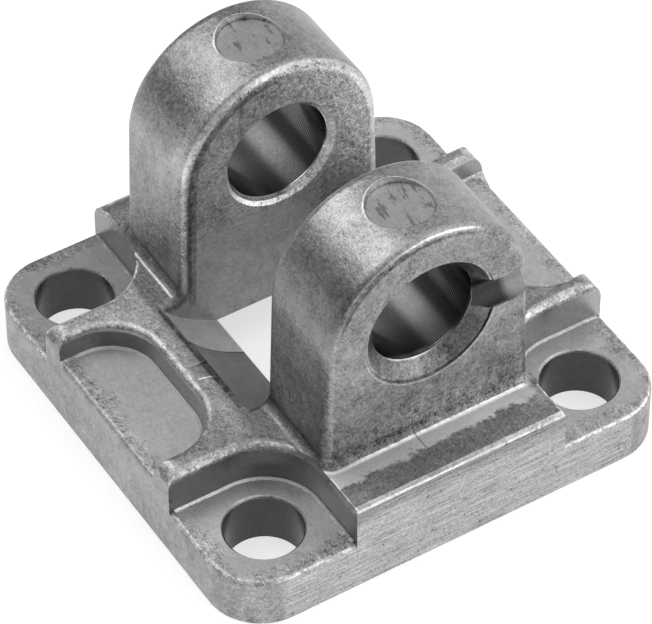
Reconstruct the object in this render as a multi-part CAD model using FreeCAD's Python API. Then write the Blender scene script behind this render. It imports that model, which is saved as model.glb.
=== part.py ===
# Clevis foot: the die-cast aluminium rear clevis of a 32 mm bore pneumatic cylinder, cast as one piece.
# Millimetres. The origin is the middle of the mounting face. X runs along the pivot pin, towards the ear
# with the groove. Z rises from the mounting face to the pin.
import FreeCAD, Part
import math
import os

# Flange and its four bolt holes
hole_spacing = 32.5
hole_diameter = 7.0
hole_edge_break = 0.2
flange_margin = 6.05
flange_corner_radius = 5.2
flange_thickness = 5.2
flange_edge_round = 0.45

# Raised deck between the four screw head pockets
deck_height = 9.6
pocket_radius = 5.6
pocket_floor_bevel = 0.2
pocket_rim_round = 0.9
pocket_sharp_rim_round = 0.15
pocket_worn_rim_round = 0.55
deck_front_round = 1.6
deck_back_round = 2.1
deck_end_round = 2.4

# Shallow recess in the deck at both sides, open to the side, with a strip of deck left along the pockets
recess_floor_height = 7.2
recess_front_strip = 2.65
recess_back_strip = 2.25
recess_reach = 6.9
recess_floor_bevel = 0.2
recess_corner_radius = 4.6
recess_wall_lean = 0.4
recess_rim_round = 0.8
recess_front_lip_round = 0.45
recess_back_lip_round = 1.25

# Centring recess in the mounting face
spigot_diameter = 30.0
spigot_depth = 5.1
spigot_edge_break = 0.4

# Ears and the pivot pin bore
pin_height = 22.0
pin_diameter = 10.0
gap_width = 14.0
ear_thickness = 10.0
crown_radius = 10.0
flank_draft_degrees = 1.8
ear_outer_round = 1.1
ear_inner_round = 1.0
ear_foot_round = 0.9
bore_chamfer = 0.6

# Seat for the head of the pin in the outer face of the grooved ear
seat_lip_diameter = 12.9
seat_lip_depth = 0.2
seat_cone_diameter = 12.4

# Groove that keeps the pin from turning, from the bore out through the side of the ear
groove_width = 3.3

# Flat marks that the ejector pins leave on top of the ears
ejector_mark_diameter = 6.0
ejector_mark_depth = 0.6

# Round floor between the ears, from its edge on the deck to the opening in the centring recess's roof.
# The slide that cast its plain ear side stood a little further out.
saddle_margin = 1.18
opening_half_length = 6.93
slide_border_x = -2.3
slide_shift_out = 0.45
slide_shift_up = 0.25

# Small step in the deck beside the saddle, which fades out along the deck and across it
step_start_x = 0.5
step_depth = 0.2
step_length = 4.0
step_reach = 1.75

# How far a cutting body reaches past the surface that it cuts, and lengths that count as equal
overrun = 2.0
tolerance = 1e-4

flange_width = hole_spacing + 2 * flange_margin
flange_half = flange_width / 2
hole_offset = hole_spacing / 2
pocket_wall = hole_offset - pocket_radius
recess_front_half_width = pocket_wall - recess_front_strip
recess_back_half_width = pocket_wall - recess_back_strip
gap_half = gap_width / 2
ear_outer_face = gap_half + ear_thickness
ear_middle = gap_half + ear_thickness / 2
crown_top = pin_height + crown_radius
pin_radius = pin_diameter / 2
recess_inner_y = flange_half - recess_reach
recess_rim_inner_y = recess_inner_y - recess_wall_lean
flank_draft = math.radians(flank_draft_degrees)

origin = FreeCAD.Vector(0, 0, 0)
along_x = FreeCAD.Vector(1, 0, 0)
along_y = FreeCAD.Vector(0, 1, 0)
along_z = FreeCAD.Vector(0, 0, 1)


def block(x_range, y_range, z_range):
    """Box between two corners."""
    corner = FreeCAD.Vector(x_range[0], y_range[0], z_range[0])
    size = (x_range[1] - x_range[0], y_range[1] - y_range[0], z_range[1] - z_range[0])
    return Part.makeBox(size[0], size[1], size[2], corner)


def rounded_square(width, corner_radius, height):
    """Upright prism over a square with round corners, standing on the mounting face."""
    half = width / 2
    prism = block((-half, half), (-half, half), (0, height))
    corners = [edge for edge in prism.Edges if edge.BoundBox.ZLength > tolerance]
    return prism.makeFillet(corner_radius, corners)


def edges_at_height(shape, height):
    """Edges of a shape that lie flat at one height."""
    found = []
    for edge in shape.Edges:
        box = edge.BoundBox
        if abs(box.ZMin - height) < tolerance and abs(box.ZMax - height) < tolerance:
            found.append(edge)
    return found


def flange_plate():
    """Plate that the four screws clamp, with its upper edge rounded."""
    plate = rounded_square(flange_width, flange_corner_radius, flange_thickness)
    return plate.makeFillet(flange_edge_round, edges_at_height(plate, flange_thickness))


def pocket_cutter(side_x, side_y, levels):
    """Corner pocket for a screw head between two levels: two straight walls and an arc about the hole."""
    outside = flange_half + overrun
    centre = FreeCAD.Vector(side_x * hole_offset, side_y * hole_offset, levels[0])
    well = Part.makeCylinder(pocket_radius, levels[1] - levels[0], centre)
    x_wall = sorted((side_x * pocket_wall, side_x * outside))
    y_wall = sorted((side_y * pocket_wall, side_y * outside))
    x_far = sorted((centre.x, side_x * outside))
    y_far = sorted((centre.y, side_y * outside))
    return well.fuse([block(x_far, y_wall, levels), block(x_wall, y_far, levels)]).removeSplitter()


def corner_pockets(top):
    """All four corner pockets as one cutting body, right through the flange."""
    pockets = [pocket_cutter(side_x, side_y, (-overrun, top)) for side_x in (-1, 1) for side_y in (-1, 1)]
    return pockets[0].fuse(pockets[1:])


def floor_cutter(side_x, side_y):
    """Space over the floor of one pocket, with a small bevel where the floor meets the wall."""
    space = pocket_cutter(side_x, side_y, (flange_thickness, deck_height))
    corners = [edge for edge in edges_at_height(space, flange_thickness)
               if max(abs(edge.CenterOfMass.x), abs(edge.CenterOfMass.y)) < flange_half + tolerance]
    return space.makeChamfer(pocket_floor_bevel, corners)


def floor_bevels():
    """Slab inside the flange that stands up only as the bevels along the pockets' walls."""
    width = flange_width - 2 * flange_edge_round
    corner_radius = flange_corner_radius - flange_edge_round
    slab = rounded_square(width, corner_radius, flange_thickness + pocket_floor_bevel)
    return slab.cut([floor_cutter(side_x, side_y) for side_x in (-1, 1) for side_y in (-1, 1)])


def recess_outline(height, half_width, inner_y, corner_radius):
    """Outline of a side recess at one height: open end outside, two round corners inside."""
    outer_y = flange_half + overrun
    turn_x = half_width - corner_radius
    turn_y = inner_y + corner_radius
    slant = corner_radius * math.sqrt(0.5)
    points = [
        FreeCAD.Vector(half_width, outer_y, height),
        FreeCAD.Vector(half_width, turn_y, height),
        FreeCAD.Vector(turn_x + slant, turn_y - slant, height),
        FreeCAD.Vector(turn_x, inner_y, height),
        FreeCAD.Vector(-turn_x, inner_y, height),
        FreeCAD.Vector(-turn_x - slant, turn_y - slant, height),
        FreeCAD.Vector(-half_width, turn_y, height),
        FreeCAD.Vector(-half_width, outer_y, height),
    ]
    edges = [
        Part.LineSegment(points[0], points[1]).toShape(),
        Part.Arc(points[1], points[2], points[3]).toShape(),
        Part.LineSegment(points[3], points[4]).toShape(),
        Part.Arc(points[4], points[5], points[6]).toShape(),
        Part.LineSegment(points[6], points[7]).toShape(),
        Part.LineSegment(points[7], points[0]).toShape(),
    ]
    return Part.Wire(edges)


def side_recess(half_width):
    """Recess on the +Y side, its walls leaning outwards for the draft of the casting."""
    floor = recess_outline(recess_floor_height, half_width, recess_inner_y, recess_corner_radius)
    rim = recess_outline(deck_height, half_width + recess_wall_lean, recess_rim_inner_y,
                         recess_corner_radius + recess_wall_lean)
    cutter = Part.makeLoft([floor, rim], True, True)
    foot = [edge for edge in edges_at_height(cutter, recess_floor_height)
            if edge.BoundBox.YMin < flange_half]
    return cutter.makeChamfer(recess_floor_bevel, foot)


def mirrored_in_y(shape):
    """The same shape on the other side."""
    return shape.mirror(origin, along_y)


def round_over(radius):
    """Cutting body that rounds one upper edge of the deck, drawn for the +Y side and running along X."""
    length = flange_width + 2 * overrun
    edge_y = flange_half
    inner = FreeCAD.Vector(-length / 2, edge_y - radius, deck_height)
    outer = FreeCAD.Vector(-length / 2, edge_y, deck_height - radius)
    slant = radius * math.sqrt(0.5)
    middle = FreeCAD.Vector(-length / 2, edge_y - radius + slant, deck_height - radius + slant)
    far_low = FreeCAD.Vector(-length / 2, edge_y + overrun, deck_height - radius)
    far_high = FreeCAD.Vector(-length / 2, edge_y + overrun, deck_height + overrun)
    near_high = FreeCAD.Vector(-length / 2, edge_y - radius, deck_height + overrun)
    edges = [
        Part.Arc(inner, middle, outer).toShape(),
        Part.LineSegment(outer, far_low).toShape(),
        Part.LineSegment(far_low, far_high).toShape(),
        Part.LineSegment(far_high, near_high).toShape(),
        Part.LineSegment(near_high, inner).toShape(),
    ]
    return Part.Face(Part.Wire(edges)).extrude(along_x * length)


def is_arc(edge, radius):
    """Whether an edge is part of a circle of the given radius."""
    return edge.Curve.TypeId == "Part::GeomCircle" and abs(edge.Curve.Radius - radius) < tolerance


def pocket_arc(deck, side_x, side_y):
    """Upper edge of the round corner of one pocket."""
    for edge in edges_at_height(deck, deck_height):
        middle = edge.CenterOfMass
        if is_arc(edge, pocket_radius) and middle.x * side_x > 0 and middle.y * side_y > 0:
            return edge
    raise SystemExit("a pocket has no round corner")


def with_pocket_rims_rounded(deck):
    """Rims rounded in full beside the recesses, fading round each arc to a sharper edge beside the ears."""
    for side_x in (-1, 1):
        for side_y in (-1, 1):
            arc = pocket_arc(deck, side_x, side_y)
            worn = side_x > 0 and side_y > 0
            ear_end = pocket_worn_rim_round if worn else pocket_sharp_rim_round
            if abs(arc.Vertexes[0].X) < abs(arc.Vertexes[-1].X):
                deck = deck.makeFillet(pocket_rim_round, ear_end, [arc])
            else:
                deck = deck.makeFillet(ear_end, pocket_rim_round, [arc])
    return deck


def on_recess_rim(edge):
    """Whether an edge at deck height borders a side recess."""
    box = edge.BoundBox
    widest = max(recess_front_half_width, recess_back_half_width) + recess_wall_lean
    within_width = max(abs(box.XMin), abs(box.XMax)) < widest + tolerance
    within_reach = min(abs(box.YMin), abs(box.YMax)) > recess_rim_inner_y - tolerance
    return within_width and within_reach


def with_recess_edges_rounded(deck):
    """Rounded rims round both side recesses, and a rounded lip where each floor ends at the side."""
    rims = [edge for edge in edges_at_height(deck, deck_height) if on_recess_rim(edge)]
    deck = deck.makeFillet(recess_rim_round, rims)
    for lip_y, radius in ((-flange_half, recess_front_lip_round), (flange_half, recess_back_lip_round)):
        lip = [edge for edge in edges_at_height(deck, recess_floor_height)
               if max(abs(edge.BoundBox.YMin - lip_y), abs(edge.BoundBox.YMax - lip_y)) < tolerance]
        deck = deck.makeFillet(radius, lip)
    return deck


def deck_body():
    """Flange with the raised deck on it: four pockets, two side recesses and rounded upper edges."""
    deck = rounded_square(flange_width, flange_corner_radius, deck_height)
    deck = deck.cut(corner_pockets(deck_height + overrun)).removeSplitter()
    deck = with_pocket_rims_rounded(deck)
    front_recess = mirrored_in_y(side_recess(recess_front_half_width))
    deck = deck.cut([side_recess(recess_back_half_width), front_recess])
    deck = with_recess_edges_rounded(deck)
    back_round = round_over(deck_back_round)
    front_round = mirrored_in_y(round_over(deck_front_round))
    end_round = round_over(deck_end_round).rotated(origin, along_z, 90)
    deck = deck.cut([back_round, front_round, end_round])
    return deck.fuse([flange_plate(), floor_bevels()])


def flank_y(height):
    """Distance of the ears' flanks from the middle plane at a height below the crown."""
    return crown_radius / math.cos(flank_draft) + (pin_height - height) * math.tan(flank_draft)


def ear_profile(x):
    """Outline of the ears seen along the pin: a round crown with flanks that spread towards the deck."""
    touch_y = crown_radius * math.cos(flank_draft)
    touch_z = pin_height + crown_radius * math.sin(flank_draft)
    left_foot = FreeCAD.Vector(x, -flank_y(0), 0)
    left_touch = FreeCAD.Vector(x, -touch_y, touch_z)
    top = FreeCAD.Vector(x, 0, crown_top)
    right_touch = FreeCAD.Vector(x, touch_y, touch_z)
    right_foot = FreeCAD.Vector(x, flank_y(0), 0)
    edges = [
        Part.LineSegment(left_foot, left_touch).toShape(),
        Part.Arc(left_touch, top, right_touch).toShape(),
        Part.LineSegment(right_touch, right_foot).toShape(),
        Part.LineSegment(right_foot, left_foot).toShape(),
    ]
    return Part.Face(Part.Wire(edges))


def lug():
    """Both ears as one body, its outer edges rounded."""
    body = ear_profile(-ear_outer_face).extrude(along_x * (2 * ear_outer_face))
    outline = [edge for edge in body.Edges if edge.BoundBox.XLength < tolerance
               and edge.BoundBox.ZMax > tolerance]
    return body.makeFillet(ear_outer_round, outline)


def ears_with_foot():
    """Both ears as one body, blended into the piece of deck that they stand on."""
    plate = block((-flange_half, flange_half), (-flange_half, flange_half), (0, deck_height))
    body = lug().fuse(plate).removeSplitter()
    foot = [edge for edge in edges_at_height(body, deck_height)
            if max(abs(edge.BoundBox.XMin), abs(edge.BoundBox.XMax)) < flange_half - tolerance]
    body = body.makeFillet(ear_foot_round, foot)
    skirt_x = ear_outer_face + ear_foot_round
    skirt_y = flank_y(deck_height) + ear_foot_round
    skirt = block((-skirt_x, skirt_x), (-skirt_y, skirt_y), (0, crown_top + overrun))
    return body.common(skirt).cut(corner_pockets(crown_top + overrun))


def along_pin(radius, start, end):
    """Cylinder about the pin axis."""
    return Part.makeCylinder(radius, end - start, FreeCAD.Vector(start, 0, pin_height), along_x)


def cone_along_pin(start, start_radius, end, end_radius):
    """Cone about the pin axis."""
    return Part.makeCone(start_radius, end_radius, abs(end - start), FreeCAD.Vector(start, 0, pin_height),
                         along_x * math.copysign(1, end - start))


def saddle_edge_y():
    """Distance from the middle plane to where the saddle meets the deck, clear of the ears' foot."""
    return flank_y(deck_height) + ear_foot_round + saddle_margin


def saddle_circle():
    """Height of the axis and radius of the saddle, through its edge on the deck and the opening below."""
    widening = saddle_edge_y() ** 2 - opening_half_length ** 2
    axis_height = (widening / (deck_height - spigot_depth) + deck_height + spigot_depth) / 2
    return axis_height, math.hypot(saddle_edge_y(), axis_height - deck_height)


def saddle_cylinder(x_end, shift_y, shift_z):
    """Cylinder for the floor of the gap, from the plain ear to a given x."""
    axis_height, radius = saddle_circle()
    axis_start = FreeCAD.Vector(-gap_half, shift_y, axis_height + shift_z)
    return Part.makeCylinder(radius, x_end + gap_half, axis_start, along_x)


def gap_cutter():
    """Space between the ears, with its round floor."""
    axis_height, radius = saddle_circle()
    floor = saddle_cylinder(gap_half, 0, 0)
    front_slide = saddle_cylinder(slide_border_x, -slide_shift_out, slide_shift_up)
    back_slide = saddle_cylinder(slide_border_x, slide_shift_out, slide_shift_up)
    above = block((-gap_half, gap_half), (-radius, radius), (axis_height, crown_top + overrun))
    return floor.fuse([front_slide, back_slide, above])


def with_inner_edges_rounded(body):
    """Rounded edges of the ears round the gap."""
    rims = []
    for edge in body.Edges:
        box = edge.BoundBox
        on_gap_face = box.XLength < tolerance and abs(abs(box.XMin) - gap_half) < tolerance
        if on_gap_face and box.ZMax > deck_height + tolerance:
            rims.append(edge)
    return body.makeFillet(ear_inner_round, rims)


def pin_bore():
    """Bore through both ears, with a chamfer at each plain end."""
    bore = along_pin(pin_radius, -ear_outer_face - overrun, ear_outer_face + overrun)
    wide = pin_radius + bore_chamfer + overrun
    reach = bore_chamfer + overrun
    gap_left = cone_along_pin(-gap_half + overrun, wide, -gap_half + overrun - reach, pin_radius)
    gap_right = cone_along_pin(gap_half - overrun, wide, gap_half - overrun + reach, pin_radius)
    outside = cone_along_pin(-ear_outer_face - overrun, wide, -ear_outer_face - overrun + reach, pin_radius)
    return bore.fuse([gap_left, gap_right, outside])


def pin_head_seat():
    """Shallow step and cone in the outer face of the grooved ear."""
    step_face = ear_outer_face - seat_lip_depth
    step = along_pin(seat_lip_diameter / 2, step_face, ear_outer_face + overrun)
    cone_radius = seat_cone_diameter / 2
    cone = cone_along_pin(step_face, cone_radius, step_face - (cone_radius - pin_radius), pin_radius)
    return step.fuse(cone)


def pin_groove():
    """Half-round groove from the pin axis out through the +Y side of the grooved ear."""
    start = FreeCAD.Vector(ear_outer_face, 0, pin_height)
    return Part.makeCylinder(groove_width / 2, flange_half, start, along_y)


def ejector_marks():
    """Flat round marks on the crown of each ear, as cutting bodies."""
    level = crown_top - ejector_mark_depth
    centres = [FreeCAD.Vector(x, 0, level) for x in (-ear_middle, ear_middle)]
    return [Part.makeCylinder(ejector_mark_diameter / 2, overrun, centre) for centre in centres]


def deck_step():
    """Cutting body for the small step: a corner that is deepest at the step's end and the saddle."""
    inner_y = -saddle_edge_y()
    scale = 2
    low = FreeCAD.Vector(step_start_x, inner_y, deck_height - step_depth)
    high = low + along_z * (scale * step_depth)
    across = high - along_y * (scale * step_reach)
    along = high + along_x * (scale * step_length)
    sides = [(low, high, across), (low, along, high), (low, across, along), (high, along, across)]
    faces = [Part.Face(Part.makePolygon([a, b, c, a])) for a, b, c in sides]
    return Part.Solid(Part.Shell(faces))


def spigot_recess():
    """Round recess in the mounting face that centres the foot on the cylinder's end cap."""
    radius = spigot_diameter / 2
    recess = Part.makeCylinder(radius, spigot_depth + overrun, FreeCAD.Vector(0, 0, -overrun))
    mouth = Part.makeCone(radius + spigot_edge_break + overrun, radius, spigot_edge_break + overrun,
                          FreeCAD.Vector(0, 0, -overrun))
    return recess.fuse(mouth)


def bolt_holes():
    """Four screw holes with broken upper edges."""
    radius = hole_diameter / 2
    break_bottom = flange_thickness - hole_edge_break
    break_height = 2 * hole_edge_break
    holes = []
    for side_x in (-1, 1):
        for side_y in (-1, 1):
            bottom = FreeCAD.Vector(side_x * hole_offset, side_y * hole_offset, -overrun)
            cone_bottom = FreeCAD.Vector(side_x * hole_offset, side_y * hole_offset, break_bottom)
            holes.append(Part.makeCylinder(radius, break_bottom + 2 * overrun, bottom))
            holes.append(Part.makeCone(radius, radius + break_height, break_height, cone_bottom))
    return holes


def clevis_foot():
    """The whole casting."""
    body = deck_body().fuse(ears_with_foot())
    body = body.cut(gap_cutter()).removeSplitter()
    body = with_inner_edges_rounded(body)
    body = body.cut([pin_bore(), pin_head_seat(), pin_groove()] + ejector_marks())
    body = body.cut([spigot_recess(), deck_step()] + bolt_holes())
    return body.removeSplitter()


foot = clevis_foot()
if len(foot.Solids) != 1 or not foot.isValid():
    raise SystemExit("the casting isn't one valid solid")
os.makedirs("parts", exist_ok=True)
foot.Solids[0].exportStep("parts/clevis_foot.step")
print("volume", round(foot.Volume, 1), "mm3, box", foot.optimalBoundingBox())
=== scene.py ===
# Clevis foot: the finish of the casting with painted light and shade, a pale floor, soft light and the
# camera.
# Metres, apart from the places on the casting, which are in millimetres.
import bpy
import math
from mathutils import Matrix, Vector

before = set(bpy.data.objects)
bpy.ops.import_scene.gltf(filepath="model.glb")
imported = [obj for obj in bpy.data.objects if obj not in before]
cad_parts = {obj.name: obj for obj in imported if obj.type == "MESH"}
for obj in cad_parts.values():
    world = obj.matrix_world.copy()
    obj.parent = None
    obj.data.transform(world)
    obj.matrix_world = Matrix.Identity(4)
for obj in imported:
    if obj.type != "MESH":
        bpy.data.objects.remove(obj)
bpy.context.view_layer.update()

IMAGE_WIDTH = 652
MM = 0.001
WHITE = (1.0, 1.0, 1.0, 1.0)

# Camera, from the perspective of the photograph, with angles in degrees
CAMERA_AZIMUTH = 58.16
CAMERA_ELEVATION = 45.89
CAMERA_ROLL = -0.225
CAMERA_DISTANCE = 387.43 * MM
CAMERA_AIM = Vector((0.0, 0.16, 8.34)) * MM
CAMERA_NEAR = 10 * MM
SENSOR_WIDTH = 36
FOCAL_PIXELS = 4386.0

# Studio: broad lights as (azimuth, elevation, full to, faded at, strength), angles in degrees
SOFT_LIGHTS = (
    (-150, 80, 15, 45, 0.8),
    (-150, 50, 8, 30, 2.0),
    (75, 12, 30, 80, 1.0),
    (40, 35, 15, 50, 0.7),
)
ROOM_LEVEL = 0.3
FLOOR_SIZE = 4
FLOOR_BASE = 0.5
FLOOR_WHITE = 0.64

# Places on the casting, in millimetres
GROUND_SIDE = 22.3
PIN_HEIGHT = 22.0
PIN_RADIUS = 5.0
SEAT_RADIUS = 6.5
EAR_INNER = 7.0
EAR_MIDDLE = 12.0
EAR_OUTER = 17.0
HOLE_OFFSET = 16.25
HOLE_RADIUS = 3.5
POCKET_WALL = 10.65
FLANGE_TOP = 5.2
RECESS_INNER = 15.0
DECK_TOP = 9.6
CREASE = -2.3
DISC_RADIUS = 3.0
DISC_HEIGHT = (30.5, 30.8)
BORE_HEIGHT = (15.0, 15.1)
DRAFT = 0.0314

# Middles of painted highlight lines and painted dark reflection lines, in millimetres, on the ears' outline,
# from the pin and from the ear mark
CROWN_EDGE = 9.70
INNER_CROWN_EDGE = 9.66
CROWN_CORNER = 9.36
INNER_CROWN_CORNER = 8.95
SEAT_LIP = 6.64
DISC_EDGE = 3.14

# Middles of painted lines along y, of painted shade at the saddle's end and of the fine line across the band,
# and the start and slope of the painted highlight beside the saddle, along x
SADDLE_END = 12.65
CROSS_LINE = -1.77
STEP_START = 5.3
STEP_SLOPE = 0.23

# Angles about the pin, in radians, of the lighter and darker bands on the crowns, which are painted
# highlights and painted shade
CROWN_GLOW_ANGLE = -0.47
GAP_GLOW_ANGLE = -0.95
CROWN_SHADE_ANGLE = -1.15

# Strength of painted highlight lines and of dark lines of painted shade and painted reflection, where the
# noise that breaks them is off and on
BROKEN_SHINE = (0.6, 0.92)
BROKEN_LINE = (0.6, 1.0)

# Strength of the worn rounding in the recesses, with a painted highlight on its upper part as well as wear
UPPER_RIM = 0.45

# How much higher the -X ear's inner face turns bright with painted light, for each millimetre towards -Y
FACE_SLOPE = 0.6

# Noises as (scale, detail, roughness), some with a stretch along x, y and z
NOISES = {
    "blotch": (0.17, 3.0, 0.55),
    "mottle": (0.7, 3.0, 0.6),
    "grain": (2.4, 3.0, 0.7),
    "grit": (5.5, 1.0, 0.5),
    "strokes": (1.6, 3.0, 0.6, (1.0, 1.0, 0.25)),
    "lines": (2.2, 4.0, 0.7, (1.0, 0.10, 3.0)),
    "smudge": (0.33, 4.0, 0.7),
    "pits": (1.9, 2.0, 0.5),
    "broken": (1.3, 2.0, 0.6),
    "scratches": (1.1, 3.0, 0.6, (0.5, 1.6, 1.0)),
    "edge": (0.5, 3.0, 0.6),
    "band": (0.8, 4.0, 0.7),
}

# Where the noise of a patch is off and on
PATCHES = {
    "smudge": (0.52, 0.66),
    "pits": (0.34, 0.29),
    "broken": (0.42, 0.56),
    "scratches": (0.57, 0.63),
}

# Weights of the noises in the brightness and in the relief, which is in millimetres
CAST_PATTERN = {"grain": 1.9, "grit": 1.7, "mottle": 1.1, "blotch": 1.2, "strokes": 0.7, "smudge": -0.26}
GROUND_PATTERN = {"lines": 2.6, "grit": 1.1, "pits": -0.45}
CAST_RELIEF = {"grain": 0.075, "grit": 0.025, "mottle": 0.08}
GROUND_RELIEF = 0.04
RING_RELIEF = 0.004

# Radians for each millimetre along the bore, in the rings that turning left
RING_TURN = 27.0

# How far the noise moves the border of the worn outer edge and of the smooth band, in millimetres
EDGE_WANDER = 4.0
BAND_WANDER = 3.0


class Metal:
    """Brightness of the metal, with painted light and shade in many entries. A pair is the two ends of a
    surface, in the order of its limits.
    """

    # top and wall: painted light and shade, one level for tops and another for upright walls
    top = 0.27
    wall = 0.33
    deck = 0.22
    deck_strip = (0.32, 0.42)
    deck_end = 0.27
    # Pockets: painted light and shade, each floor at its own level and the walls darker
    back_pocket = 0.30
    side_pocket = 0.39
    front_pocket = (0.58, 0.44)
    back_pocket_wall = 0.26
    side_pocket_wall = 0.36
    front_pocket_wall = 0.16
    recess = 0.43
    # recess_wall: painted shade on the recesses' walls
    recess_wall = 0.26
    # Saddle: painted light and shade, bright on the -X side of the crease and darker towards +X; saddle_edge
    # is a painted highlight along the -X ear's foot
    saddle = (0.34, 0.18)
    back_saddle = 0.78
    saddle_edge = 0.9
    crease = 0.14
    band = (0.72, 0.86)
    band_end = 0.58
    disc = 0.33
    # disc_wall: painted light on the step round the mark
    disc_wall = 0.95
    # bolt_hole, back_bore, front_bore: painted shade in the holes and the pin bore
    bolt_hole = 0.07
    back_bore = 0.11
    front_bore = (0.14, 0.06)
    seat = (0.22, 0.15)
    ground = (0.44, 0.29)
    # groove: painted shadow inside, lighter at its lit +Y end
    groove = (0.05, 0.24)
    # chamfer and chamfer_lip: painted shade on the inner part, painted highlight on the lip
    chamfer = 0.14
    chamfer_lip = 0.72
    # foot: painted shade in the rounding at the ears' foot
    foot = (0.15, 0.26)
    # rim: worn roundings, lightened further by a painted highlight
    rim = (0.42, 0.72)
    # Painted highlights along edges and lips
    painted_highlight = 0.95
    brightest = 0.95


class Gain:
    """Factors on the metal's brightness, and shares of it that are added or taken away."""

    # inner_face: painted light, brighter towards the top of the -X ear's inner face
    inner_face = (0.76, 1.9)
    front_face = (0.86, 0.5)
    far_corner = 1.5
    # Flanks: painted shade on the ears' -Y sides
    back_flank_shade = 0.82
    front_flank_shade = (0.50, 0.80)
    smooth_edge = 0.86
    # Crowns: painted highlight bands and a painted shade band
    back_crown = -0.1
    crown_glow = 0.30
    gap_glow = 0.5
    crown_shade = -0.30
    # Painted highlight on the roundings of the ears' outlines
    ear_edge_highlights = 0.6
    # Painted dark reflections inside the crown roundings
    crown_dark_reflections = -0.55
    # Painted shade lines at the saddle's end and round the mark's floor
    saddle_shade_line = -0.7
    disc_shade_line = -0.5
    cross_line = -0.55
    scratches = -0.45
    darkest = 0.25


class Shine:
    """Strength of each painted highlight line. A pair is the two ends of a line."""

    foot = (0.25, 1.0)
    flank_foot = 0.45
    crown = 0.7
    inner_crown = 0.7
    seat_lip = 0.45
    bore_lip = 0.4
    bolt_hole = 0.18
    disc = 0.6


class Coarse:
    """Coarseness of the cast skin, as levels and factors. The last one is a share that is taken away."""

    top = 1.0
    wall = 0.75
    smooth = 0.22
    smooth_edge = 0.9
    side = 0.6
    crown = 0.62
    deck = 0.75
    front_face = 1.5
    inner_face = 0.55
    rim = 0.6
    painted_highlight = -0.7


class Rough:
    """Roughness of the metal. The last one is the weight of the grain in it."""

    top = 0.50
    wall = 0.38
    crown = 0.38
    smooth_top = 0.50
    smooth_wall = 0.30
    bolt_hole = 0.25
    bore = 0.17
    ground = 0.36
    grain = 0.3


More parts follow.
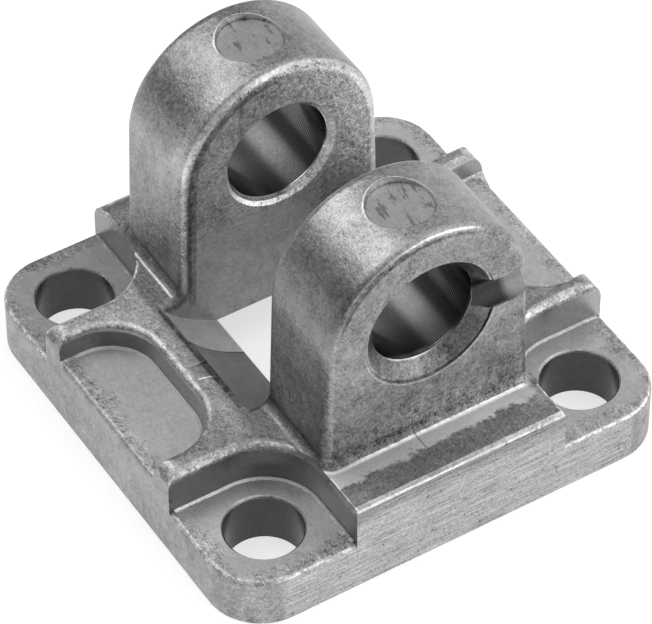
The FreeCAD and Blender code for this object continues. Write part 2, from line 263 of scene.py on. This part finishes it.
class Graph:
    """Short ways to add and join the nodes of one material or world."""

    def __init__(self, owner):
        owner.use_nodes = True
        self.nodes = owner.node_tree.nodes
        self.links = owner.node_tree.links

    def put(self, socket, value):
        """Sets an input to a value, or joins an output to it."""
        if isinstance(value, bpy.types.NodeSocket):
            self.links.new(value, socket)
        else:
            socket.default_value = value

    def math(self, operation, first, second=0.0):
        node = self.nodes.new("ShaderNodeMath")
        node.operation = operation
        self.put(node.inputs[0], first)
        self.put(node.inputs[1], second)
        return node.outputs[0]

    def vector_math(self, operation, vector, setting, value):
        """Changes a vector by one setting, which is an input's name or number."""
        node = self.nodes.new("ShaderNodeVectorMath")
        node.operation = operation
        self.links.new(vector, node.inputs[0])
        node.inputs[setting].default_value = value
        return node

    def join(self, operation, values):
        """Joins any number of values by one operation."""
        result = values[0]
        for value in values[1:]:
            result = self.math(operation, result, value)
        return result

    def add(self, *values):
        return self.join("ADD", values)

    def times(self, *values):
        return self.join("MULTIPLY", values)

    def either(self, *masks):
        return self.join("MAXIMUM", masks)

    def less(self, first, second):
        return self.math("SUBTRACT", first, second)

    def size(self, value):
        """The value without its sign."""
        return self.math("ABSOLUTE", value)

    def length(self, first, second):
        """Length of a vector with two parts."""
        return self.math("SQRT", self.add(self.times(first, first), self.times(second, second)))

    def split(self, vector):
        """The x, y and z of a vector."""
        node = self.nodes.new("ShaderNodeSeparateXYZ")
        self.links.new(vector, node.inputs[0])
        return node.outputs

    def map_range(self, kind, value, limits, levels):
        """Spreads what lies between the limits over the levels."""
        node = self.nodes.new("ShaderNodeMapRange")
        node.interpolation_type = kind
        self.put(node.inputs["Value"], value)
        for name, number in zip(("From Min", "From Max", "To Min", "To Max"), (*limits, *levels)):
            node.inputs[name].default_value = number
        return node.outputs[0]

    def rise(self, value, off, on):
        """0 at off and beyond it, 1 at on and beyond it, smooth between. Off may be above on."""
        if off > on:
            return self.map_range("SMOOTHSTEP", value, (on, off), (1.0, 0.0))
        return self.map_range("SMOOTHSTEP", value, (off, on), (0.0, 1.0))

    def line(self, value, middle, off, on):
        """1 where value is middle. Off and on are distances from it."""
        return self.rise(self.size(self.less(value, middle)), off, on)

    def scale(self, share, low, high):
        """Spreads 0..1 over low..high."""
        return self.map_range("LINEAR", share, (0.0, 1.0), (low, high))

    def along(self, value, start, end, levels):
        """The first level at start and the second at end, smooth between."""
        return self.scale(self.rise(value, start, end), *levels)

    def blend(self, share, first, second):
        """First where share is 0, second where it is 1."""
        node = self.nodes.new("ShaderNodeMix")
        node.data_type = "FLOAT"
        self.put(node.inputs[0], share)
        self.put(node.inputs[2], first)
        self.put(node.inputs[3], second)
        return node.outputs[0]

    def cover(self, value, layers):
        """Lays the level of each (mask, level) over the value, in order."""
        for mask, level in layers:
            value = self.blend(mask, value, level)
        return value

    def weigh(self, value, factors):
        """Multiplies the value by the factor of each (mask, factor)."""
        for mask, factor in factors:
            value = self.times(value, self.blend(mask, 1.0, factor))
        return value

    def change(self, value, shares):
        """Raises the value by a share of itself for each (mask, share), or lowers it."""
        for mask, share in shares:
            value = self.times(value, self.add(1.0, self.times(mask, share)))
        return value

    def noise(self, point, name):
        """The noise of that name, from 0 to 1."""
        scale, detail, roughness, *stretch = NOISES[name]
        if stretch:
            mapping = self.nodes.new("ShaderNodeMapping")
            self.links.new(point, mapping.inputs["Vector"])
            mapping.inputs["Scale"].default_value = stretch[0]
            point = mapping.outputs[0]
        node = self.nodes.new("ShaderNodeTexNoise")
        self.links.new(point, node.inputs["Vector"])
        node.inputs["Scale"].default_value = scale
        node.inputs["Detail"].default_value = detail
        node.inputs["Roughness"].default_value = roughness
        return node.outputs[0]

    def swing(self, point, name):
        """The noise of that name, to both sides of 0."""
        return self.less(self.noise(point, name), 0.5)

    def patches(self, point, name):
        """1 in the patches where the noise of that name is on."""
        return self.rise(self.noise(point, name), *PATCHES[name])

    def weighted(self, textures, weights):
        """Sum of the textures times their weights."""
        return self.add(*(self.times(textures[name], weight) for name, weight in weights.items()))

    def rays(self, *kinds):
        """1 for rays of these kinds, 0 for all others."""
        path = self.nodes.new("ShaderNodeLightPath")
        return self.either(*(path.outputs[f"Is {kind} Ray"] for kind in kinds))


def direction(azimuth, elevation):
    """Unit vector from angles in degrees, with azimuth from +X towards +Y."""
    azimuth, elevation = math.radians(azimuth), math.radians(elevation)
    level = math.cos(elevation)
    return Vector((math.cos(azimuth) * level, math.sin(azimuth) * level, math.sin(elevation)))


def add_camera():
    """Camera at the place that the photograph was taken from."""
    right = direction(CAMERA_AZIMUTH, 0)
    back = direction(CAMERA_AZIMUTH - 90, CAMERA_ELEVATION)
    up = back.cross(right)
    roll = math.radians(CAMERA_ROLL)
    right, up = (right * math.cos(roll) + up * math.sin(roll),
                 up * math.cos(roll) - right * math.sin(roll))
    camera_data = bpy.data.cameras.new("camera")
    camera_data.sensor_width = SENSOR_WIDTH
    camera_data.lens = FOCAL_PIXELS / IMAGE_WIDTH * SENSOR_WIDTH
    camera_data.clip_start = CAMERA_NEAR
    camera = bpy.data.objects.new("camera", camera_data)
    bpy.context.scene.collection.objects.link(camera)
    turn = Matrix((right, up, back)).transposed().to_4x4()
    camera.matrix_world = Matrix.Translation(CAMERA_AIM + back * CAMERA_DISTANCE) @ turn
    bpy.context.scene.camera = camera


def set_world():
    """White for camera and transmission rays. All others see a dim room with broad soft lights."""
    world = bpy.data.worlds.new("studio")
    bpy.context.scene.world = world
    graph = Graph(world)
    background = graph.nodes["Background"]
    background.inputs["Color"].default_value = WHITE
    sight = graph.nodes.new("ShaderNodeTexCoord").outputs["Generated"]
    room = ROOM_LEVEL
    for azimuth, elevation, full_angle, fade_angle, strength in SOFT_LIGHTS:
        nearness = graph.vector_math("DOT_PRODUCT", sight, 1, direction(azimuth, elevation))
        faded, full = math.cos(math.radians(fade_angle)), math.cos(math.radians(full_angle))
        light = graph.map_range("SMOOTHSTEP", nearness.outputs["Value"], (faded, full), (0.0, strength))
        room = graph.add(light, room)
    shown = graph.blend(graph.rays("Camera", "Transmission"), room, 1.0)
    graph.put(background.inputs["Strength"], shown)


def add_floor():
    """Pale floor that shows its white to camera, glossy and transmission rays."""
    bpy.ops.mesh.primitive_plane_add(size=FLOOR_SIZE, location=(0, 0, 0))
    floor = bpy.context.object
    floor.name = "floor"
    material = bpy.data.materials.new("floor")
    graph = Graph(material)
    shader = graph.nodes["Principled BSDF"]
    shader.inputs["Base Color"].default_value = (FLOOR_BASE, FLOOR_BASE, FLOOR_BASE, 1)
    shader.inputs["Roughness"].default_value = 1.0
    shader.inputs["Specular IOR Level"].default_value = 0.0
    shader.inputs["Emission Color"].default_value = WHITE
    white = graph.times(graph.rays("Camera", "Glossy", "Transmission"), FLOOR_WHITE)
    graph.put(shader.inputs["Emission Strength"], white)
    floor.data.materials.append(material)


class Places:
    """Where a point is on the casting, in millimetres, and masks for its surfaces and lines."""

    def __init__(self, graph):
        self.graph = graph
        coordinates = graph.nodes.new("ShaderNodeTexCoord")
        geometry = graph.nodes.new("ShaderNodeNewGeometry")
        self.point = graph.vector_math("SCALE", coordinates.outputs["Object"], "Scale", 1 / MM).outputs[0]
        self.x, self.y, self.z = graph.split(self.point)
        self.facing_x, self.facing_y, self.facing_z = graph.split(geometry.outputs["Normal"])
        self.side_x = graph.size(self.x)
        self.side_y = graph.size(self.y)
        self.side_facing_x = graph.size(self.facing_x)
        self.from_centre = graph.either(self.side_x, self.side_y)
        over_pin = graph.less(self.z, PIN_HEIGHT)
        self.from_pin = graph.length(self.y, over_pin)
        self.pin_angle = graph.math("ARCTAN2", self.y, over_pin)
        self.from_hole = graph.length(graph.less(self.side_x, HOLE_OFFSET),
                                      graph.less(self.side_y, HOLE_OFFSET))
        self.from_disc = graph.length(graph.less(self.side_x, EAR_MIDDLE), self.y)
        self.past_ear_middle = graph.blend(graph.math("GREATER_THAN", self.x, 0.0),
                                           graph.add(self.x, EAR_MIDDLE),
                                           graph.less(self.x, EAR_MIDDLE))
        # How far out a point of an ear is, the same along its round top and its drafted sides
        below = graph.either(graph.less(PIN_HEIGHT, self.z), 0.0)
        self.outline = graph.less(graph.length(self.y, graph.either(over_pin, 0.0)),
                                  graph.times(below, DRAFT))

    def where(self, *masks, **limits):
        """Masks times limits. A pair of limits is (off, on), and four are (off, on, on, off)."""
        ramps = list(masks)
        for name, limit in limits.items():
            value = getattr(self, name)
            ramps.append(self.graph.rise(value, limit[0], limit[1]))
            if len(limit) == 4:
                ramps.append(self.graph.rise(value, limit[3], limit[2]))
        return self.graph.times(*ramps)

    def ground_side(self):
        """Ground +X side of the flange and the deck."""
        return self.where(x=(GROUND_SIDE - 0.12, GROUND_SIDE - 0.02), facing_x=(0.85, 0.98))

    def bore(self):
        """Turned wall of the pin bore."""
        return self.where(from_pin=(PIN_RADIUS + 0.08, PIN_RADIUS + 0.02), z=BORE_HEIGHT)

    def seat(self):
        """Sunk seat with its cone on the +X ear."""
        return self.where(from_pin=(SEAT_RADIUS + 0.02, SEAT_RADIUS - 0.03), x=(15.3, 15.4),
                          facing_x=(0.99, 0.95))

    def groove(self):
        """Groove from the seat to the +Y side of the +X ear, which holds a painted shadow."""
        across = self.graph.line(self.z, PIN_HEIGHT, 1.75, 1.6)
        return self.where(across, x=(14.5, 14.6, 16.8, 16.9), y=(4.4, 4.7),
                          from_pin=(PIN_RADIUS + 0.02, PIN_RADIUS + 0.08))

    def back_chamfer(self):
        """Machined chamfer at the inner end of the -X ear's bore."""
        return self.where(x=(-7.75, -7.65, -7.0, -6.9), z=BORE_HEIGHT,
                          from_pin=(PIN_RADIUS + 0.62, PIN_RADIUS + 0.58))

    def bolt_hole(self):
        """Walls of the bolt holes."""
        return self.where(from_hole=(HOLE_RADIUS + 0.08, HOLE_RADIUS + 0.03),
                          z=(FLANGE_TOP, FLANGE_TOP - 0.05))

    def pocket(self):
        """Floors and walls of the corner pockets."""
        wall = (POCKET_WALL - 0.1, POCKET_WALL)
        return self.where(side_x=wall, side_y=wall, z=(FLANGE_TOP - 0.1, FLANGE_TOP - 0.02, 8.5, 9.0))

    def recess(self):
        """Floors and walls of the recesses on the -Y and +Y sides."""
        return self.where(side_y=(RECESS_INNER - 0.2, RECESS_INNER), side_x=(9.2, 8.8),
                          z=(6.4, 6.9, 9.1, 9.35))

    def saddle(self):
        """Round saddle between the ears, without the ears' own faces."""
        return self.where(side_x=(EAR_INNER + 0.05, EAR_INNER - 0.02), side_y=(13.2, 13.0),
                          z=(DECK_TOP - 0.02, DECK_TOP - 0.12), side_facing_x=(0.6, 0.4))

    def foot_band(self):
        """Smooth band of deck along the foot of the +X ear, with a ragged outer border."""
        graph = self.graph
        ragged = graph.add(self.side_x, graph.times(graph.swing(self.point, "band"), BAND_WANDER))
        return self.where(graph.rise(ragged, 19.5, 19.0), x=(EAR_OUTER - 0.1, EAR_OUTER),
                          y=(-11.8, -11.4, 9.4, 10.2),
                          z=(DECK_TOP - 0.05, DECK_TOP - 0.01, DECK_TOP + 0.05, DECK_TOP + 0.15))

    def foot(self):
        """Rounding between the deck and the ears, outside the gap, where shade is painted."""
        outside = self.graph.either(self.where(side_x=(EAR_OUTER - 0.1, EAR_OUTER)),
                                    self.where(side_y=(10.2, 10.4)))
        return self.where(outside, z=(DECK_TOP + 0.02, DECK_TOP + 0.08, 10.5, 10.7))

    def deck(self):
        """Top of the deck with the upper part of its roundings."""
        return self.where(z=(DECK_TOP - 0.3, DECK_TOP - 0.1, DECK_TOP + 0.05, DECK_TOP + 0.15),
                          facing_z=(0.3, 0.5))

    def rim(self):
        """Worn roundings of the deck and the flange, lightened further by a painted highlight, apart from
        those of the saddle and the bolt holes.

        In the recesses only the upper part of the rounding is worn and painted with the highlight.
        """
        graph = self.graph
        upper = graph.times(self.where(facing_z=(0.55, 0.75, 0.93, 0.99)), UPPER_RIM)
        turned = graph.blend(self.where(side_x=(10.6, 10.2)),
                             self.where(facing_z=(0.3, 0.5, 0.8, 0.95)), upper)
        beside_saddle = graph.either(self.where(side_x=(8.2, 8.6)), self.where(side_y=(13.0, 13.4)))
        height = graph.either(self.where(z=(8.2, 8.6, DECK_TOP + 0.02, DECK_TOP + 0.1)),
                              self.where(z=(4.7, 4.8, FLANGE_TOP + 0.02, FLANGE_TOP + 0.05)))
        return self.where(turned, beside_saddle, height, from_hole=(3.9, 4.1))

    def back_inner_face(self):
        """Face of the -X ear towards the gap."""
        return self.where(facing_x=(0.8, 0.95), x=(-8.0, -7.5, -6.9, -6.5), z=(5.0, 5.1))

    def front_face(self):
        """Outer face of the +X ear."""
        return self.where(facing_x=(0.8, 0.95), x=(16.8, 16.9, 17.2, 17.3))

    def shaded_flank(self):
        """The ears' -Y sides, where shade is painted."""
        return self.where(facing_y=(-0.7, -0.9), side_x=(6.8, 7.0, 17.1, 17.2), side_y=(11.5, 11.0),
                          z=(DECK_TOP, DECK_TOP + 0.2, 20.0, 24.0))

    def crown(self):
        """Round tops of the ears."""
        return self.where(z=(22.0, 24.0), outline=(9.5, 9.8))

    def ear_edge_highlights(self):
        """Roundings of the ears' outlines, apart from those of the +X ear's outer face, where a highlight is
        painted.
        """
        edge = self.graph.either(self.graph.line(self.side_x, EAR_OUTER - 0.1, 0.5, 0.3),
                                 self.graph.line(self.side_x, EAR_INNER + 0.1, 0.5, 0.3))
        return self.where(edge, outline=(9.4, 9.6), x=(16.0, 15.0), z=(10.5, 12.0))

    def disc(self):
        """Flat floor of the round mark on each ear."""
        return self.where(from_disc=(DISC_RADIUS + 0.02, DISC_RADIUS - 0.02), z=(31.0, 31.1))

    def disc_wall(self):
        """Small step round the mark on each ear, where light is painted."""
        return self.where(self.graph.line(self.from_disc, DISC_RADIUS, 0.06, 0.04),
                          facing_z=(0.6, 0.4), z=DISC_HEIGHT)

    def painted_highlight_lines(self):
        """Painted highlights along edges, lips and steps."""
        line, where = self.graph.line, self.where
        step = self.graph.add(STEP_START, self.graph.times(self.y, STEP_SLOPE))
        along_foot = self.graph.along(self.y, -10.0, -4.0, Shine.foot)
        return self.graph.either(
            # Deck's rounding at the ground side
            where(x=(GROUND_SIDE - 0.50, GROUND_SIDE - 0.40), z=(9.2, 9.3), side_y=(11.6, 11.2)),
            # Foot of the +X ear's outer face
            where(along_foot, x=(17.42, 17.52, 17.72, 17.82), y=(9.7, 9.2), z=(9.55, 9.6, 9.9, 10.0)),
            # Foot of the -X ear's -Y side
            where(Shine.flank_foot, y=(-11.2, -11.12, -11.02, -10.95), x=(-7.0, -7.2),
                  side_x=(17.0, 16.8), z=(9.58, 9.6, 9.75, 9.8)),
            # Crowns' edges on the ears' outer faces, and on the -X ear's inner face
            where(Shine.crown, line(self.outline, CROWN_EDGE, 0.10, 0.03), side_x=(16.3, 16.5),
                  y=(5.5, 3.5), z=(26.5, 29.0)),
            where(Shine.inner_crown, line(self.outline, INNER_CROWN_EDGE, 0.24, 0.08),
                  x=(-8.0, -7.7, -6.8, -6.6), y=(1.6, -0.6), z=(28.0, 29.5)),
            # Lower lips of the seat and of the bore inside it
            where(Shine.seat_lip, line(self.from_pin, SEAT_LIP, 0.07, 0.03), x=(16.8, 16.9),
                  z=(21.5, 20.5)),
            where(Shine.bore_lip, from_pin=(4.95, 5.0, 5.08, 5.14), x=(15.0, 15.2), y=(1.2, 0.2),
                  z=(19.0, 18.0)),
            # Chamfers of the bolt holes
            where(Shine.bolt_hole, from_hole=(HOLE_RADIUS + 0.22, HOLE_RADIUS + 0.17),
                  z=(4.9, 5.0, 5.25, 5.3)),
            # Step in the deck beside the saddle
            where(line(self.x, step, 0.14, 0.05), y=(-14.2, -14.0, -12.9, -12.7), z=(9.2, 9.3)),
            # Far edge of the round mark on each ear
            where(Shine.disc, line(self.from_disc, DISC_EDGE, 0.10, 0.03),
                  past_ear_middle=(0.4, -1.8), z=DISC_HEIGHT),
        )

    def crown_dark_reflections(self):
        """Painted dark reflections, as lines inside the worn crown roundings of the +X ear's outer and the -X
        ear's inner face.
        """
        line = self.graph.line
        outer = self.where(line(self.outline, CROWN_CORNER, 0.20, 0.06), x=(16.5, 16.7),
                           y=(5.5, 2.5), z=(23.5, 26.0))
        inner = self.where(line(self.outline, INNER_CROWN_CORNER, 0.5, 0.25),
                           x=(-7.6, -7.3, -6.8, -6.6), y=(2.0, -2.0))
        return self.where(self.graph.either(outer, inner), z=(8.0, 9.0))

    def cross_line(self):
        """Fine line across the smooth band and up the foot of the +X ear."""
        return self.where(self.graph.line(self.y, CROSS_LINE, 0.09, 0.04),
                          x=(16.9, 17.0, 19.5, 19.7), z=(9.5, 9.55, 11.0, 11.8))

    def saddle_shade_line(self):
        """Dark line of painted shade where the saddle runs out into the deck."""
        return self.where(self.graph.line(self.side_y, SADDLE_END, 0.45, 0.25),
                          side_x=(7.0, 6.8), z=(8.7, 9.0))

    def disc_shade_line(self):
        """Dark line of painted shade on the floor of the round mark, along its wall."""
        return self.where(self.graph.line(self.from_disc, DISC_RADIUS - 0.05, 0.14, 0.05),
                          facing_z=(0.7, 0.9), z=DISC_HEIGHT)


class Finish:
    """The brightness, roughness and relief of the casting, from its places and a few noises, with painted
    light and shade in the brightness.
    """

    def __init__(self, graph):
        self.graph = graph
        self.places = places = Places(graph)
        point = places.point
        self.textures = {name: graph.swing(point, name)
                         for name in ("blotch", "mottle", "grain", "grit", "strokes", "lines")}
        self.textures |= {name: graph.patches(point, name) for name in ("smudge", "pits")}
        self.broken = graph.patches(point, "broken")
        self.upright = places.where(facing_z=(0.4, 0.2))
        self.right = places.where(x=(0.0, 6.0))
        self.pocket = places.pocket()
        self.recess = places.recess()
        self.band = places.foot_band()
        self.disc = places.disc()
        self.saddle = places.saddle()
        self.bore = places.bore()
        self.groove = places.groove()
        self.bolt_hole = places.bolt_hole()
        self.ground = places.ground_side()
        self.rim = places.rim()
        self.deck = places.deck()
        self.crown = places.crown()
        self.inner_face = places.back_inner_face()
        self.front_face = places.front_face()
        self.smooth = graph.either(self.pocket, self.recess, self.saddle, self.band, self.disc,
                                   self.bore, self.bolt_hole, self.groove)
        wander = graph.times(graph.swing(point, "edge"), EDGE_WANDER)
        self.outer_edge = graph.times(graph.rise(graph.add(places.from_centre, wander), 20.2, 21.4),
                                      graph.less(1.0, self.upright))
        # Painted highlight lines, broken by noise
        self.bright = graph.times(places.painted_highlight_lines(), graph.scale(self.broken, *BROKEN_SHINE))

    def deck_metal(self):
        """Lighter on the -Y strip, above all towards -X."""
        graph, places = self.graph, self.places
        strip = graph.along(places.x, 3.0, -3.0, Metal.deck_strip)
        level = graph.blend(places.where(y=(-12.8, -13.8)), Metal.deck, strip)
        return graph.blend(places.where(x=(17.5, 18.5)), level, Metal.deck_end)

    def pocket_light_and_shade(self):
        """Painted light and shade: lightest on the floor of the +X-Y pocket, darkest on its walls."""
        graph, places = self.graph, self.places
        front = places.where(x=(0.0, 1.0), y=(0.0, -1.0))
        others = graph.blend(places.where(x=(0.0, 1.0)), Metal.back_pocket, Metal.side_pocket)
        floor = graph.blend(front, others, graph.along(places.x, 13.0, 19.0, Metal.front_pocket))
        right_wall = graph.blend(places.where(y=(0.0, -6.0)), Metal.side_pocket_wall,
                                 Metal.front_pocket_wall)
        wall = graph.blend(self.right, Metal.back_pocket_wall, right_wall)
        return graph.blend(self.upright, floor, wall)

    def saddle_light_and_shade(self):
        """Painted light and shade: bright on the -X side of the crease, darker towards +X on its other side.
        """
        places = self.places
        return self.graph.blend(places.where(x=(CREASE - 0.1, CREASE + 0.1)), Metal.back_saddle,
                                self.graph.along(places.x, CREASE, 6.0, Metal.saddle))

    def band_metal(self):
        """Brightest just before its +Y end."""
        places = self.places
        return self.graph.blend(places.where(y=(6.5, 9.0)),
                                self.graph.along(places.y, -4.0, 5.0, Metal.band), Metal.band_end)

    def chamfer_highlight_and_shade(self):
        """Painted highlight on its outer part and on its +Y side, painted shade on the rest."""
        places = self.places
        lip = self.graph.either(places.where(from_pin=(PIN_RADIUS + 0.24, PIN_RADIUS + 0.30)),
                                places.where(y=(0.0, 2.0)))
        return self.graph.blend(lip, Metal.chamfer, Metal.chamfer_lip)

    def metal(self):
        """Brightness of the metal without its pattern, with painted light and shade on many surfaces."""
        graph, places = self.graph, self.places
        blend, along, line, where = graph.blend, graph.along, graph.line, places.where
        front_bore = along(places.x, EAR_INNER, 15.0, Metal.front_bore)
        # Tops and walls, pockets, recess walls and the saddle carry painted light and shade; bolt holes and
        # the bore carry painted shade
        level = graph.cover(blend(self.upright, Metal.top, Metal.wall), (
            (self.deck, self.deck_metal()),
            (self.pocket, self.pocket_light_and_shade()),
            (self.recess, blend(self.upright, Metal.recess, Metal.recess_wall)),
            (self.saddle, self.saddle_light_and_shade()),
            (where(self.saddle, x=(-6.7, -6.85)), Metal.saddle_edge),
            (where(self.saddle, line(places.x, CREASE, 0.12, 0.05)), Metal.crease),
            (self.band, self.band_metal()),
            (self.disc, Metal.disc),
            (self.bolt_hole, Metal.bolt_hole),
            (self.bore, blend(self.right, Metal.back_bore, front_bore)),
            (places.seat(), along(places.y, 0.0, 4.0, Metal.seat)),
            (self.ground, along(places.z, 7.0, 8.8, Metal.ground)),
        ))
        up_slope = graph.add(places.z, graph.times(places.y, FACE_SLOPE))
        low_corner = where(y=(-3.0, -8.0), z=(15.0, 10.5))
        front_flank_shade = along(places.z, 17.0, 12.0, Gain.front_flank_shade)
        # Painted light on the -X ear's inner face and painted shade on the ears' -Y sides
        level = graph.weigh(level, (
            (self.inner_face, along(up_slope, 12.0, 25.0, Gain.inner_face)),
            (self.front_face, graph.scale(low_corner, *Gain.front_face)),
            (where(x=(-8.0, -10.0), y=(11.0, 13.0)), Gain.far_corner),
            (places.shaded_flank(), blend(self.right, Gain.back_flank_shade, front_flank_shade)),
        ))
        # Painted highlight bands and a painted shade band on the crowns
        crown = graph.times(self.crown, blend(self.right, Gain.back_crown, 1.0))
        beside_gap = where(self.crown, x=(-10.5, -8.2, -7.0, -6.0))
        level = graph.change(level, (
            (graph.times(crown, line(places.pin_angle, CROWN_GLOW_ANGLE, 0.30, 0.05)), Gain.crown_glow),
            (graph.times(beside_gap, line(places.pin_angle, GAP_GLOW_ANGLE, 0.6, 0.3)), Gain.gap_glow),
            (graph.times(crown, line(places.pin_angle, CROWN_SHADE_ANGLE, 0.45, 0.15)), Gain.crown_shade),
        ))
        level = graph.weigh(level, ((graph.times(self.smooth, self.outer_edge), Gain.smooth_edge),))
        # Painted shadow in the groove, painted highlight and shade on the chamfer, and painted light on the
        # mark's wall
        level = graph.cover(level, (
            (self.groove, along(places.y, 7.6, 8.6, Metal.groove)),
            (places.back_chamfer(), self.chamfer_highlight_and_shade()),
            (places.disc_wall(), Metal.disc_wall),
        ))
        # Painted highlight on the ears' roundings
        level = graph.change(level, ((places.ear_edge_highlights(), Gain.ear_edge_highlights),))
        # Painted shade in the foot rounding, wear with a painted highlight on the rims, and painted highlight
        # lines
        return graph.cover(level, (
            (places.foot(), along(places.y, -4.0, 8.0, Metal.foot)),
            (self.rim, graph.scale(self.broken, *Metal.rim)),
            (self.bright, Metal.painted_highlight),
        ))

    def coarseness(self):
        """How strongly the cast skin shows in the brightness and the relief."""
        graph, places = self.graph, self.places
        skin = graph.blend(self.upright, Coarse.top, Coarse.wall)
        even = graph.scale(self.outer_edge, Coarse.smooth, Coarse.smooth_edge)
        side = places.where(z=(8.9, 8.4), from_centre=(21.8, 22.2))
        coarse = graph.cover(skin, ((self.smooth, even), (side, Coarse.side)))
        coarse = graph.weigh(coarse, (
            (self.crown, Coarse.crown),
            (self.deck, Coarse.deck),
            (places.where(self.front_face, z=(15.0, 11.0)), Coarse.front_face),
            (places.where(self.inner_face, z=(18.0, 15.0)), Coarse.inner_face),
        ))
        coarse = graph.blend(self.rim, coarse, Coarse.rim)
        return graph.change(coarse, ((self.bright, Coarse.painted_highlight),))

    def brightness(self, coarse):
        """The metal's brightness with its pattern, scratches and dark lines, most of them painted shade and
        painted reflection.
        """
        graph, places = self.graph, self.places
        cast = graph.times(graph.weighted(self.textures, CAST_PATTERN), coarse)
        pattern = graph.blend(self.ground, cast, graph.weighted(self.textures, GROUND_PATTERN))
        scratches = graph.times(self.disc, graph.patches(places.point, "scratches"), Gain.scratches)
        level = graph.times(self.metal(), graph.either(graph.add(1.0, pattern, scratches), Gain.darkest))
        broken = graph.scale(self.broken, *BROKEN_LINE)
        # Painted dark reflections in the crown roundings and painted shade lines at the saddle and the mark
        level = graph.change(level, (
            (graph.times(places.crown_dark_reflections(), broken), Gain.crown_dark_reflections),
            (graph.times(places.saddle_shade_line(), broken), Gain.saddle_shade_line),
            (graph.times(places.disc_shade_line(), broken), Gain.disc_shade_line),
            (places.cross_line(), Gain.cross_line),
        ))
        return graph.math("MINIMUM", level, Metal.brightest)

    def roughness(self):
        """Roughness, lowest in the turned bore."""
        graph = self.graph
        rough = graph.blend(self.upright, Rough.top, Rough.wall)
        rough = graph.blend(self.places.where(z=(23.0, 26.0)), rough, Rough.crown)
        rough = graph.add(rough, graph.times(self.textures["grain"], Rough.grain))
        return graph.cover(rough, (
            (self.smooth, graph.blend(self.upright, Rough.smooth_top, Rough.smooth_wall)),
            (self.bolt_hole, Rough.bolt_hole),
            (self.bore, Rough.bore),
            (self.ground, Rough.ground),
        ))

    def relief(self, coarse):
        """Height of the cast skin, of the grinding lines and of the rings in the bore."""
        graph = self.graph
        rings = graph.math("SINE", graph.times(self.places.x, RING_TURN))
        return graph.cover(graph.times(graph.weighted(self.textures, CAST_RELIEF), coarse), (
            (self.ground, graph.times(self.textures["lines"], GROUND_RELIEF)),
            (self.bore, graph.times(rings, RING_RELIEF)),
        ))


def cast_aluminium():
    """Die-cast aluminium: sandy where the mould was rough, smooth in pockets, ground and turned where cut,
    with painted light and shade in its brightness.
    """
    material = bpy.data.materials.new("cast_aluminium")
    graph = Graph(material)
    shader = graph.nodes["Principled BSDF"]
    finish = Finish(graph)
    coarse = finish.coarseness()
    level = finish.brightness(coarse)
    colour = graph.nodes.new("ShaderNodeCombineColor")
    for channel in range(3):
        graph.put(colour.inputs[channel], level)
    graph.put(shader.inputs["Base Color"], colour.outputs[0])
    shader.inputs["Metallic"].default_value = 1.0
    graph.put(shader.inputs["Roughness"], finish.roughness())
    bump = graph.nodes.new("ShaderNodeBump")
    bump.inputs["Distance"].default_value = MM
    graph.put(bump.inputs["Height"], finish.relief(coarse))
    graph.put(shader.inputs["Normal"], bump.outputs[0])
    return material


bpy.context.scene.view_settings.view_transform = "Standard"
add_camera()
set_world()
add_floor()
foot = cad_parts["clevis_foot"]
foot.data.materials.clear()
foot.data.materials.append(cast_aluminium())
